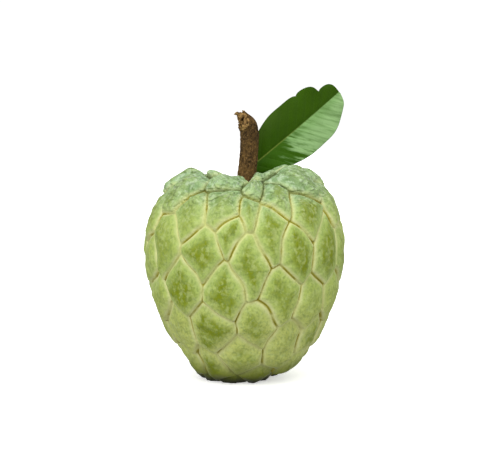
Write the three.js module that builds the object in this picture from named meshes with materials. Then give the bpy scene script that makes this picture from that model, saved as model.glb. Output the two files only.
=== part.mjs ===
// Custard apple (sugar apple): one fruit of fused carpels, the woody stalk it hung from and one leaf.
// Millimetres, +Z up. The origin is the middle of the fruit's foot, on the surface that it rests on.
// Azimuth 0 is the front, -Y, and azimuth 90 is +X.
import * as THREE from "three";

// Driving dimensions of the fruit. Every height is over the resting surface.
const FRUIT_RADIUS = 41.5; // the skin at its widest, between its swollen carpels
const FRUIT_HEIGHT = 85.5; // the rim of the hollow that the stalk grows from
const FOOT_SHIFT = -3.4; // the foot stands a little to the left of the widest part
const RIM_SIDES = 2.9; // the rim's two shoulders stand up, and its front and back dip
const RIM_RIGHT = 1.2; // the right shoulder stands over the left one
const RIM_FRONT = 1.4; // the front dips less than the back

// Half of the fruit's upright section, from the stalk's hollow to the middle of the foot,
// in shares of the radius and of the height.
const OUTLINE = [
  [0, 0.883],
  [0.17, 0.897],
  [0.3, 0.963],
  [0.46, 0.995],
  [0.65, 0.968],
  [0.815, 0.896],
  [0.935, 0.792],
  [1, 0.672],
  [0.963, 0.538],
  [0.885, 0.386],
  [0.748, 0.24],
  [0.552, 0.111],
  [0.36, 0.03],
  [0.19, -0.01],
  [0, -0.018],
];

// Carpels that are placed one by one: azimuth in degrees, way down the skin from the middle of
// the hollow in millimetres, and width and height against the usual carpel's.
const PLACED_CARPELS = [
  // Round the hollow
  [-18, 24.5, 1, 0.95],
  [9, 29.5, 0.75, 0.75],
  [55, 26.5, 1.35, 1],
  [-53, 31, 1.25, 1],
  // The shoulder
  [-79, 46, 1, 1],
  [-34, 42.5, 1.1, 1.15],
  [-15, 38.5, 1.15, 1.15],
  [2, 41.5, 0.8, 0.9],
  [24, 36, 1.05, 0.95],
  [41, 43.5, 1.1, 1.1],
  [78, 40, 1, 1],
  // Over the widest part
  [-52, 55.5, 1.05, 1.1],
  [-8, 50.5, 0.82, 1.05],
  [15, 49, 1, 1.2],
  [57, 59, 1.05, 1.15],
  // The widest part
  [-74, 64, 1, 1],
  [-24, 60, 1.15, 1.05],
  [3, 61.5, 0.85, 1.25],
  [31, 58.5, 0.95, 1.2],
  [78, 61, 1, 1],
  // Under the widest part
  [-67, 79, 1, 1],
  [-38, 72, 1.05, 1],
  [-12, 74, 1.05, 1.12],
  [22, 76, 1.1, 1.08],
  [45, 81, 1.05, 1.1],
  [69, 78, 1, 1],
  // The lower flank
  [-85, 93, 1, 1],
  [-54, 93, 1.05, 1.05],
  [-23, 91, 1.05, 1.05],
  [8, 90, 1.05, 1.1],
  [34, 99, 1.05, 1.15],
  [59, 96, 1.05, 1],
  [85, 93, 1, 1],
  // Down to the foot
  [-66, 109, 1, 1],
  [-32, 113, 1, 1],
  [-2, 105, 1.1, 1],
  [24, 119, 0.9, 0.9],
  [66, 112, 1, 1],
  [-8, 126, 0.8, 0.8],
];
// The other carpels stand in even rows: way down the skin, first and last azimuth, and how many.
const CARPEL_ROWS = [
  [12, 35, 323, 5],
  [26, 108, 258, 4],
  [41, 112, 252, 5],
  [53, 97, 262, 6],
  [66, 112, 252, 5],
  [79, 97, 262, 6],
  [92, 112, 250, 5],
  [103, 100, 262, 6],
  [115, 106, 270, 5],
  [128, 60, 300, 5],
  [139, 0, 0, 1],
];
const CARPEL_STRETCH = 1.35; // a carpel's reach down the skin against its reach round the fruit
const REACH_UP = 0.9; // a carpel reaches less far up than down, which points its lower end
const REACH_DOWN = 1.12;
const CARPEL_SWELL = 1.5; // the middle of a carpel over the seams round it, on the flank
const SHOULDER_SWELL = 2.8; // the same beside the hollow
const SWELL_WIDTH = 5.5; // from a seam to where the swelling levels off
const SEAT_RADIUS = 7.5; // the bottom of the hollow is smooth out to here

// The stalk: its centre line in shares of its height, sideways shift in millimetres.
const STALK_FOOT = 77.8; // height of its lower end, just clear of the hollow's bottom
const STALK_HEIGHT = 32.4;
const STALK_RADIUS = 3.9;
const STALK_FLARE = 0.7; // how much wider it is where it meets the fruit
const STALK_LINE = [
  [0, 0.2],
  [0.2, 0.7],
  [0.55, 2],
  [0.8, 1.9],
  [1, -0.1],
];

// The leaf: its stalk end, behind the stalk, the way that its midrib runs, and its outline to
// each side of the midrib as [distance along the midrib, half width].
const LEAF_FOOT = [0.1, 5.3, 86.5];
const LEAF_HEADING = 25; // degrees that the midrib swings back from +X
const LEAF_RISE = 37; // degrees that the midrib climbs
const LEAF_LENGTH = 56;
const LEAF_FOLD = 15; // degrees that each half lifts towards the front from the midrib
const FOLD_START = 15; // the leaf is flat at its stalk end and fully folded from here on
const LEAF_THICKNESS = 0.8;
const LEAF_STALK = 1.8; // thickness of the leaf's own stalk
const LEAF_UPPER = [
  [0, 0.9],
  [2, 1.1],
  [5, 4],
  [9, 8],
  [15, 11.4],
  [20, 13],
  [27, 13.5],
  [34, 13.8],
  [37, 12.2],
  [40, 12.8],
  [44, 12],
  [46.5, 10.6],
  [48, 7],
  [50, 7.2],
  [54, 6],
  [55.5, 3.2],
  [56, 0.8],
];
const LEAF_LOWER = [
  [0, 0.9],
  [1.5, 1.2],
  [4, 4.4],
  [9.5, 6.2],
  [15, 9.4],
  [20.5, 11.7],
  [26, 12.7],
  [33, 13.3],
  [40, 12.8],
  [45, 11.6],
  [48.5, 10],
  [52.3, 7.2],
  [55, 4.6],
  [56, 0.8],
];

const radians = THREE.MathUtils.degToRad;
const smooth = (share) => THREE.MathUtils.smoothstep(share, 0, 1);

// ---- The fruit's skin ----

const outline = new THREE.SplineCurve(
  OUTLINE.map(([r, h]) => new THREE.Vector2(r * FRUIT_RADIUS, h * FRUIT_HEIGHT)),
);
outline.arcLengthDivisions = 600;
const SKIN_LENGTH = outline.getLength();

// The smooth skin: the outline turned round the axis, with a wavy rim and a shifted foot.
function skinPoint(azimuth, way) {
  const { x: radius, y: level } = outline.getPointAt(way / SKIN_LENGTH);
  const nearRim = smooth(way / 16) * smooth(1 - way / 58);
  const nearFoot = smooth(1 - level / 11);
  const rim =
    RIM_RIGHT * Math.sin(azimuth) +
    RIM_FRONT * Math.cos(azimuth) -
    RIM_SIDES * Math.cos(2 * azimuth);
  return new THREE.Vector3(
    radius * Math.sin(azimuth) + FOOT_SHIFT * nearFoot,
    -radius * Math.cos(azimuth),
    level + rim * nearRim,
  );
}

// A place on the skin with its directions: round the fruit, down the skin and out of it.
function skinFrame(azimuth, way) {
  const step = 0.01;
  const origin = skinPoint(azimuth, way);
  const above = skinPoint(azimuth, Math.max(way - step, 0));
  const below = skinPoint(azimuth, Math.min(way + step, SKIN_LENGTH));
  const across = new THREE.Vector3(Math.cos(azimuth), Math.sin(azimuth), 0);
  const down = below.sub(above).normalize();
  const out = new THREE.Vector3().crossVectors(down, across).normalize();
  return { origin, across, down, out };
}

// ---- The carpels ----

function carpel([azimuth, way, width, height]) {
  const frame = skinFrame(radians(azimuth), Math.min(way, SKIN_LENGTH - 1));
  return { ...frame, width, height: height * CARPEL_STRETCH };
}

function evenRow([way, first, last, count]) {
  const step = count > 1 ? (last - first) / (count - 1) : 0;
  return Array.from({ length: count }, (_, i) => [first + i * step, way, 1, 1]);
}

const carpels = [...PLACED_CARPELS, ...CARPEL_ROWS.flatMap(evenRow)].map(carpel);

// How far a point lies from a carpel's middle, in widths and heights of that carpel.
function reach(one, point) {
  const offset = point.clone().sub(one.origin);
  const down = offset.dot(one.down);
  const height = one.height * (down > 0 ? REACH_DOWN : REACH_UP);
  const across = offset.dot(one.across) / one.width;
  return Math.hypot(across, down / height, offset.dot(one.out) / one.width);
}

// The nearest carpel to a point and the next nearest, with how much further away that one is:
// nothing on the seam between them.
function nearestPair(point) {
  const [first, second] = carpels
    .map((one) => ({ one, away: reach(one, point) }))
    .sort((a, b) => a.away - b.away);
  return { own: first.one, other: second.one, apart: second.away - first.away };
}

// How far the skin swells over its seams: nothing on a seam, then a rounded rise to the middle
// of the nearest carpel. The hollow's bottom and the middle of the foot don't swell.
function swelling(point, way) {
  const inwards = Math.min(nearestPair(point).apart / 2 / SWELL_WIDTH, 1);
  const top = THREE.MathUtils.lerp(CARPEL_SWELL, SHOULDER_SWELL, smooth((52 - way) / 25));
  const ends = smooth((way - SEAT_RADIUS) / 14) * smooth((SKIN_LENGTH - way) / 6);
  return top * ends * (1 - (1 - inwards) ** 2);
}

// A grid point within about half a step of a seam is moved on to it, straight across, so
// that the seams come out as clean creases. The grid's steps are given in millimetres.
function movedToSeam(azimuth, way, stepRound, stepDown) {
  const { origin, across, down } = skinFrame(azimuth, way);
  const { own, other, apart } = nearestPair(origin);
  const apartAt = (point) => reach(other, point) - reach(own, point);
  const slopeRound = apartAt(origin.clone().addScaledVector(across, 0.1)) / 0.1 - apart / 0.1;
  const slopeDown = apartAt(origin.clone().addScaledVector(down, 0.1)) / 0.1 - apart / 0.1;
  const slope = Math.hypot(slopeRound, slopeDown);
  const distance = apart / slope;
  const [shareRound, shareDown] = [slopeRound / slope, slopeDown / slope];
  const limit = Math.max(stepRound * Math.abs(shareRound), stepDown * Math.abs(shareDown)) * 0.46;
  if (!(distance < limit)) return [azimuth, way];
  const radius = Math.hypot(origin.x - FOOT_SHIFT * smooth(1 - origin.z / 11), origin.y);
  return [azimuth - (distance * shareRound) / radius, way - distance * shareDown];
}

// The fruit: a lathe of the outline, whose points are then put on the swollen skin.
// Nothing is lower than the resting surface, so the foot ends in a small flat spot.
function fruitGeometry(columns, rows) {
  const profile = outline.getSpacedPoints(rows).reverse();
  const geometry = new THREE.LatheGeometry(profile, columns);
  const { position, uv } = geometry.attributes;
  const stepDown = SKIN_LENGTH / rows;
  const swells = [];
  for (let i = 0; i < position.count; i += 1) {
    let azimuth = (Math.round(uv.getX(i) * columns) % columns) * ((2 * Math.PI) / columns);
    let way = (1 - uv.getY(i)) * SKIN_LENGTH;
    const stepRound = (outline.getPointAt(way / SKIN_LENGTH).x * 2 * Math.PI) / columns;
    if (way > 1.5 * stepDown && way < SKIN_LENGTH - 3.5 * stepDown)
      [azimuth, way] = movedToSeam(azimuth, way, stepRound, stepDown);
    const { origin, out } = skinFrame(azimuth, way);
    swells[i] = swelling(origin, way);
    const point = origin.clone().addScaledVector(out, swells[i]);
    position.setXYZ(i, point.x, point.y, Math.max(point.z, 0));
  }
  foldAlongSeams(geometry.index, swells);
  return geometry;
}

// Each four-sided patch of the lathe is two triangles: they are made to meet along the
// diagonal with the lower ends, which keeps a seam that crosses the patch unbroken.
function foldAlongSeams(index, swells) {
  for (let i = 0; i < index.count; i += 6) {
    const [a, b, d, c] = [0, 1, 2, 3].map((k) => index.getX(i + k));
    if (swells[a] + swells[c] >= swells[b] + swells[d]) continue;
    [a, b, c, a, c, d].forEach((corner, k) => index.setX(i + k, corner));
  }
}

// ---- The stalk ----

// A cylinder bent along the stalk's line. Its lower end flares, its bark is a little uneven,
// and its upper end is a torn break that slopes down to the front, hollow in the middle.
function stalkGeometry(columns, rows) {
  const line = new THREE.CatmullRomCurve3(
    STALK_LINE.map(([h, x]) => new THREE.Vector3(x, 0, STALK_FOOT + h * STALK_HEIGHT)),
  );
  const geometry = new THREE.CylinderGeometry(1, 1, 1, columns, rows);
  const { position } = geometry.attributes;
  for (let i = 0; i < position.count; i += 1) {
    const along = position.getY(i) + 0.5;
    const share = Math.hypot(position.getX(i), position.getZ(i));
    const turn = share > 0 ? Math.atan2(position.getZ(i), position.getX(i)) : 0;
    const centre = line.getPointAt(along);
    const upwards = line.getTangentAt(along);
    const sideways = new THREE.Vector3(upwards.z, 0, -upwards.x);
    const uneven = 1 + 0.05 * Math.sin(3 * turn + 7 * along);
    const radius = share * uneven * (STALK_RADIUS + STALK_FLARE * smooth(1 - along / 0.2));
    const tear = share > 0 ? -1.6 * Math.sin(turn) + 0.7 * Math.sin(4 * turn) : -1.8;
    centre.addScaledVector(sideways, radius * Math.cos(turn));
    centre.addScaledVector(upwards, tear * smooth((along - 0.86) / 0.14));
    position.setXYZ(i, centre.x, centre.y - radius * Math.sin(turn), centre.z);
  }
  return geometry;
}

// ---- The leaf ----

function halfWidth(points, along) {
  const curve = new THREE.SplineCurve(points.map(([s, w]) => new THREE.Vector2(s, w)));
  let [low, high] = [0, 1];
  while (high - low > 1e-4) {
    const middle = (low + high) / 2;
    if (curve.getPoint(middle).x < along) low = middle;
    else high = middle;
  }
  return curve.getPoint(low).y;
}

// A box turned into the leaf: its length runs along the midrib, its width out to the two
// margins, and its thickness from the leaf's back to its face. The stalk end is thicker.
function leafGeometry(columns, rows) {
  const [heading, rise] = [LEAF_HEADING, LEAF_RISE].map(radians);
  const along = new THREE.Vector3(
    Math.cos(rise) * Math.cos(heading),
    Math.cos(rise) * Math.sin(heading),
    Math.sin(rise),
  );
  const face = new THREE.Vector3(Math.sin(heading), -Math.cos(heading), 0);
  const upper = new THREE.Vector3().crossVectors(along, face).negate().normalize();
  const geometry = new THREE.BoxGeometry(1, 2, 1, columns, rows, 1);
  const { position } = geometry.attributes;
  for (let i = 0; i < position.count; i += 1) {
    const share = position.getX(i) + 0.5;
    const side = position.getY(i);
    const distance = share * LEAF_LENGTH;
    const width = halfWidth(side > 0 ? LEAF_UPPER : LEAF_LOWER, distance) * side;
    const thick = THREE.MathUtils.lerp(LEAF_STALK, LEAF_THICKNESS, smooth(distance / 7));
    const fold = radians(LEAF_FOLD) * smooth(distance / FOLD_START);
    const lift = Math.abs(width) * Math.sin(fold) + position.getZ(i) * thick;
    const point = new THREE.Vector3(...LEAF_FOOT)
      .addScaledVector(along, distance)
      .addScaledVector(upper, width * Math.cos(fold))
      .addScaledVector(face, lift);
    position.setXYZ(i, point.x, point.y, point.z);
  }
  return geometry;
}

// ---- The object ----

const skinGreen = new THREE.MeshStandardMaterial({ color: 0xa3b972, roughness: 0.6, metalness: 0 });
const barkBrown = new THREE.MeshStandardMaterial({ color: 0x5e4828, roughness: 0.9, metalness: 0 });
const leafGreen = new THREE.MeshStandardMaterial({ color: 0x3d6109, roughness: 0.4, metalness: 0 });

function node(name, geometry, material) {
  const mesh = new THREE.Mesh(geometry, material);
  mesh.name = name;
  return mesh;
}

const custardApple = new THREE.Group();
custardApple.add(node("fruit", fruitGeometry(84, 46), skinGreen));
custardApple.add(node("stalk", stalkGeometry(16, 14), barkBrown));
custardApple.add(node("leaf", leafGeometry(28, 8), leafGreen));

export default custardApple;
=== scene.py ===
"""The looks of a custard apple: a knobbly green fruit, its torn woody stalk and one folded leaf.

Every shape is a surface of two parameters, worked out with numpy in millimetres and put into
its mesh in metres. Azimuths are in radians: 0 is the front, -Y, and a quarter turn is +X.
"""

import math

import bpy
import numpy as np
from bpy.props import FloatProperty, FloatVectorProperty, IntProperty, PointerProperty
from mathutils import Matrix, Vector


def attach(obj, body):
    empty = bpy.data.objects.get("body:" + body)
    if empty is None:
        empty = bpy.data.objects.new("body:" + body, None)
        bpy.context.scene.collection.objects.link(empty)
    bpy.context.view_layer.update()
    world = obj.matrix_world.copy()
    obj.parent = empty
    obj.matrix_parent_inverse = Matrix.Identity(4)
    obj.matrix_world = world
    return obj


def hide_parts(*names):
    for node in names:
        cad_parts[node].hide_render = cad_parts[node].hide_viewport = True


bl_info = {
    "name": "Custard apple",
    "version": (1, 0, 0),
    "blender": (4, 5, 0),
    "location": "3D View > Sidebar > Custard apple",
    "description": "Builds a custard apple with its stalk and leaf",
    "category": "Add Mesh",
}

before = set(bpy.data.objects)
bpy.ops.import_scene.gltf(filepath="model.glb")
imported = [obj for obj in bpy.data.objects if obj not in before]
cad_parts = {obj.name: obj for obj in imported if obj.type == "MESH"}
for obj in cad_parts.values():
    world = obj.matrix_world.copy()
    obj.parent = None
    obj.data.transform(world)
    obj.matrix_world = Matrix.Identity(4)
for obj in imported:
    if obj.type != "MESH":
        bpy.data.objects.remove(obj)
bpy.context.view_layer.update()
MM = 0.001


# ---- Curves, noise and meshes ----


def smooth(share):
    """A soft step: 0 below 0, 1 above 1, and 3 t squared minus 2 t cubed between."""
    t = np.clip(share, 0, 1)
    return t * t * (3 - 2 * t)


def mix(low, high, share):
    """The value that lies at a share of the way from low to high."""
    return low + (high - low) * share


def curve_through(points, steps=80):
    """A curve through the points: between two of them it is the cubic whose slope at each is
    half the way from the point before to the point after (an even Catmull-Rom curve)."""
    p = np.asarray(points, float)
    p = np.vstack([p[:1], p, p[-1:]])
    before, start, end, after = p[:-3], p[1:-2], p[2:-1], p[3:]
    start_slope, end_slope = (end - before) / 2, (after - start) / 2
    t = np.linspace(0, 1, steps, endpoint=False)[:, None, None]
    cubic = 2 * start - 2 * end + start_slope + end_slope
    square = 3 * end - 3 * start - 2 * start_slope - end_slope
    curve = cubic * t**3 + square * t**2 + start_slope * t + start
    return np.vstack([curve.transpose(1, 0, 2).reshape(-1, p.shape[1]), p[-1]])


def ways_along(curve):
    """The distance along a curve at each of its points."""
    steps = np.linalg.norm(np.diff(curve, axis=0), axis=1)
    return np.concatenate([[0], np.cumsum(steps)])


def at_way(curve, way):
    """The points of a curve at the given distances along it."""
    ways = ways_along(curve)
    return np.stack([np.interp(way, ways, column) for column in curve.T], -1)


def unit(vectors):
    """The same directions with length 1."""
    return vectors / np.maximum(np.linalg.norm(vectors, axis=-1, keepdims=True), 1e-12)


def waves(points, length, seed, count=40):
    """Even, soft unevenness about 0, mostly within 1 either way: the sum of many cosine waves
    that run in random directions, with wavelengths around the given one."""
    rng = np.random.default_rng(seed)
    direction = unit(rng.normal(size=(count, 3)))
    pace = 2 * math.pi / (length * rng.uniform(0.65, 1.5, (count, 1)))
    phase = rng.uniform(0, 2 * math.pi, count)
    return np.cos(points @ (direction * pace).T + phase).sum(-1) * math.sqrt(2 / count) / 1.6


def grid_faces(rows, columns, lower=None):
    """Triangles of a closed tube of rows x columns points with a pole point before its first
    row and one after its last: the points are numbered row by row, then the two poles.
    Rows run along and columns run round. The faces look outwards where along x round points
    outwards, and a surface on which it points inwards turns them over with turned_over.
    Each patch is cut along the diagonal whose ends have the lower values of lower."""
    i, j = np.meshgrid(np.arange(rows - 1), np.arange(columns), indexing="ij")
    following = (j + 1) % columns
    a, b = i * columns + j, (i + 1) * columns + j
    c, d = (i + 1) * columns + following, i * columns + following
    one_way = np.stack([a, b, c, a, c, d], -1)
    other_way = np.stack([a, b, d, b, c, d], -1)
    height = np.zeros(rows * columns) if lower is None else lower
    fold = height[a] + height[c] < height[b] + height[d]
    patches = np.where(fold[..., None], one_way, other_way).reshape(-1, 3)
    j = np.arange(columns)
    following = (j + 1) % columns
    first, last = np.full(columns, rows * columns), np.full(columns, rows * columns + 1)
    last_row = (rows - 1) * columns
    start = np.stack([first, j, following], -1)
    end = np.stack([last_row + j, last, last_row + following], -1)
    return np.vstack([patches, start, end])


def turned_over(faces):
    """The same faces, looking the other way."""
    return faces[:, ::-1]


def put_mesh(name, points, faces, attributes=None, uv=None):
    """Makes the piece of a name: points in millimetres, triangles, one number per point for
    each attribute, and a UV place per point. A piece of that name from an earlier press of
    the button is removed first."""
    if name in bpy.data.objects:
        bpy.data.objects.remove(bpy.data.objects[name])
    mesh = bpy.data.meshes.new(name)
    mesh.vertices.add(len(points))
    mesh.vertices.foreach_set("co", (points * MM).astype(np.float32).ravel())
    mesh.loops.add(faces.size)
    mesh.loops.foreach_set("vertex_index", faces.astype(np.int32).ravel())
    mesh.polygons.add(len(faces))
    mesh.polygons.foreach_set("loop_start", np.arange(0, faces.size, 3, dtype=np.int32))
    mesh.polygons.foreach_set("use_smooth", np.ones(len(faces), bool))
    for key, values in (attributes or {}).items():
        layer = mesh.attributes.new(key, "FLOAT", "POINT")
        layer.data.foreach_set("value", np.asarray(values, np.float32))
    if uv is not None:
        layer = mesh.uv_layers.new(name="surface")
        layer.data.foreach_set("uv", uv[faces.ravel()].astype(np.float32).ravel())
    mesh.update(calc_edges=True)
    mesh.validate()
    piece = bpy.data.objects.new(name, mesh)
    bpy.context.scene.collection.objects.link(piece)
    return piece


# ---- The fruit's smooth skin ----

# Half of the fruit's upright section from the middle of the stalk's hollow to the middle of
# the foot: distance from the axis and height over the resting surface.
FRUIT_OUTLINE = [
    (0, 75.5),
    (7.1, 77),
    (12.5, 82.2),
    (19, 84.5),
    (26.5, 81.6),
    (33.5, 75.6),
    (38.3, 67),
    (39.8, 57.5),
    (39, 46),
    (36.5, 33),
    (30.3, 20.5),
    (22.4, 9.5),
    (14.6, 2.7),
    (7.7, -0.9),
    (0, -1.5),
]
FOOT_SHIFT = -3.4
# The rim of the hollow: how far its sides, its right, its front and its back move it.
RIM_SIDES, RIM_RIGHT, RIM_FRONT, RIM_BACK = 2.9, 1.2, 1.4, 1.2
# Two narrow dips in the rim: the azimuths of their middles, their depth and their spread.
DIP_AZIMUTHS = (0.3, -1.4)
DIP_DEPTH, DIP_SPREAD = 1.6, 0.06
OUTLINE_CURVE = curve_through(FRUIT_OUTLINE)
SKIN_LENGTH = ways_along(OUTLINE_CURVE)[-1]


def skin_point(azimuth, way):
    """The outline turned round the axis. The rim goes up at the sides and down between them with
    the cosine of twice the azimuth, is higher on the right and lowest at the back, and has two
    narrow dips, in front and on the left: a dip's depth times e to the power of (c - 1) / spread,
    c being the cosine of the angle from the dip's middle. The foot is shifted to the left."""
    radius, level = np.moveaxis(at_way(OUTLINE_CURVE, way), -1, 0)
    near_rim = smooth(way / 16) * smooth(1 - way / 58)
    near_foot = smooth(1 - level / 11)
    rim = RIM_RIGHT * np.sin(azimuth) + RIM_FRONT * np.cos(azimuth)
    rim = rim - RIM_SIDES * np.cos(2 * azimuth)
    rim = rim - RIM_BACK * np.maximum(-np.cos(azimuth), 0) ** 2
    for middle in DIP_AZIMUTHS:
        rim = rim - DIP_DEPTH * np.exp((np.cos(azimuth - middle) - 1) / DIP_SPREAD)
    x = radius * np.sin(azimuth) + FOOT_SHIFT * near_foot
    return np.stack([x, -radius * np.cos(azimuth), level + rim * near_rim], -1)


def skin_frame(azimuth, way, step=0.3):
    """The skin's point with its directions: round the fruit, down the skin and outwards, which
    is the cross product of down and round."""
    above = skin_point(azimuth, np.maximum(way - step, 0))
    below = skin_point(azimuth, np.minimum(way + step, SKIN_LENGTH))
    round_ = np.stack([np.cos(azimuth), np.sin(azimuth), 0 * azimuth], -1)
    down = unit(below - above)
    return skin_point(azimuth, way), round_, down, unit(np.cross(down, round_))


# ---- The carpels ----

# Carpels placed one by one: azimuth in degrees, way down the skin from the middle of the
# hollow, and width and height against the usual carpel's.
PLACED_CARPELS = [
    # Round the hollow
    (-18, 24.5, 1, 0.95),
    (9, 29.5, 0.75, 0.75),
    (55, 26.5, 1.35, 1),
    (-53, 31, 1.25, 1),
    # The shoulder
    (-79, 46, 1, 1),
    (-34, 42.5, 1.1, 1.15),
    (-15, 38.5, 1.15, 1.15),
    (2, 41.5, 0.8, 0.9),
    (24, 36, 1.05, 0.95),
    (41, 43.5, 1.1, 1.1),
    (78, 40, 1, 1),
    # Over the widest part
    (-52, 55.5, 1.05, 1.1),
    (-8, 50.5, 0.82, 1.05),
    (15, 49, 1, 1.2),
    (57, 59, 1.05, 1.15),
    # The widest part
    (-74, 64, 1, 1),
    (-24, 60, 1.15, 1.05),
    (3, 61.5, 0.85, 1.25),
    (31, 58.5, 0.95, 1.2),
    (78, 61, 1, 1),
    # Under the widest part
    (-67, 79, 1, 1),
    (-38, 72, 1.05, 1),
    (-12, 74, 1.05, 1.12),
    (22, 76, 1.1, 1.08),
    (45, 81, 1.05, 1.1),
    (69, 78, 1, 1),
    # The lower flank
    (-85, 93, 1, 1),
    (-54, 93, 1.05, 1.05),
    (-23, 91, 1.05, 1.05),
    (8, 90, 1.05, 1.1),
    (34, 99, 1.05, 1.15),
    (59, 96, 1.05, 1),
    (85, 93, 1, 1),
    # Down to the foot
    (-66, 109, 1, 1),
    (-32, 113, 1, 1),
    (-2, 105, 1.1, 1),
    (24, 119, 0.9, 0.9),
    (66, 112, 1, 1),
    (-8, 126, 0.8, 0.8),
]
# The placed carpels with an olive middle, counted from zero.
OLIVE_CARPELS = [9, 12, 13, 14, 16, 17, 18, 21, 22, 28, 34, 36]
# The other carpels stand in even rows: way, first and last azimuth, and how many.
CARPEL_ROWS = [
    (12, 35, 323, 5),
    (26, 108, 258, 4),
    (41, 112, 252, 5),
    (53, 97, 262, 6),
    (66, 112, 252, 5),
    (79, 97, 262, 6),
    (92, 112, 250, 5),
    (103, 100, 262, 6),
    (115, 106, 270, 5),
    (128, 60, 300, 5),
    (139, 0, 0, 1),
]
# A carpel is taller than wide, and reaches further down from its middle than up.
CARPEL_STRETCH = 1.35
REACH_UP, REACH_DOWN = 0.9, 1.12
SEAM_BEND = 0.9
# Ways down the skin at which the shoulder has ended and at which the foot begins.
SHOULDER_END, FOOT_START = 52, 98
# How far from its seam each part of a carpel's relief has its full height.
RIM_REACH, SWELL_REACH, TILT_REACH, LUMP_REACH = 1.3, 7.5, 0.9, 2.5
CREASE_SPREAD = 0.35


class Carpels:
    """All carpels as arrays: their middles, directions, widths and heights."""

    def __init__(self):
        rows = [
            (azimuth, way, 1, 1)
            for way, first, last, count in CARPEL_ROWS
            for azimuth in np.linspace(first, last, count)
        ]
        azimuth, way, self.width, height = np.array(PLACED_CARPELS + rows, float).T
        self.height = height * CARPEL_STRETCH
        way = np.minimum(way, SKIN_LENGTH - 1)
        self.middle, self.round, self.down, self.out = skin_frame(np.radians(azimuth), way)

    def parts(self, points):
        """For every point and carpel: how far across, down and out of the carpel's middle the
        point lies, each divided by the carpel's size that way. The point is first moved by a
        soft unevenness, which bends the seams."""
        bend = [waves(points, 17, seed) for seed in (31, 32, 33)]
        points = points + SEAM_BEND * np.stack(bend, -1)
        offsets = [
            points @ axis.T - (self.middle * axis).sum(-1)
            for axis in (self.round, self.down, self.out)
        ]
        tall = self.height * np.where(offsets[1] > 0, REACH_DOWN, REACH_UP)
        return offsets[0] / self.width, offsets[1] / tall, offsets[2] / self.width, tall

    def nearest_pair(self, points):
        """For every point: the nearest carpel, how much further off the next one is, which
        way that grows fastest, and how far up or down the nearest carpel the point lies."""
        across, along, off, tall = self.parts(points)
        away = np.sqrt(across**2 + along**2 + off**2)
        every = np.arange(len(points))
        own = away.argmin(1)
        hidden = away.copy()
        hidden[every, own] = np.inf
        other = hidden.argmin(1)

        def slope(which):
            here = (every, which)
            toward = (
                (across[here] / self.width[which])[:, None] * self.round[which]
                + (along[here] / tall[here])[:, None] * self.down[which]
                + (off[here] / self.width[which])[:, None] * self.out[which]
            )
            return toward / np.maximum(away[here], 1e-9)[:, None]

        apart = away[every, other] - away[every, own]
        return own, apart, slope(other) - slope(own), along[every, own]


def move_to_seams(carpels, azimuth, way, step_round, step_down):
    """Grid points within about half a step of a seam move on to it, straight across. On a seam
    two carpels are equally near, so the distance to it is the difference of the two reaches
    over its slope. The second round makes the first one exact."""
    for _ in range(2):
        point, round_, down, _out = skin_frame(azimuth, way)
        _own, apart, slope, _along = carpels.nearest_pair(point)
        slope_round, slope_down = (slope * round_).sum(-1), (slope * down).sum(-1)
        steep = np.maximum(np.hypot(slope_round, slope_down), 1e-6)
        share_round, share_down = slope_round / steep, slope_down / steep
        distance = apart / steep
        limit = np.maximum(step_round * abs(share_round), step_down * abs(share_down)) * 0.5
        near = (distance < limit) & (way > 11) & (way < SKIN_LENGTH - 5)
        radius = np.maximum(at_way(OUTLINE_CURVE, way)[:, 0], 1)
        azimuth = np.where(near, azimuth - distance * share_round / radius, azimuth)
        way = np.where(near, way - distance * share_down, way)
    return azimuth, way, near


def rounded(share):
    """A rise that starts steep and levels off at 1: 1 minus the square of what is left."""
    return 1 - (1 - np.clip(share, 0, 1)) ** 2


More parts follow.
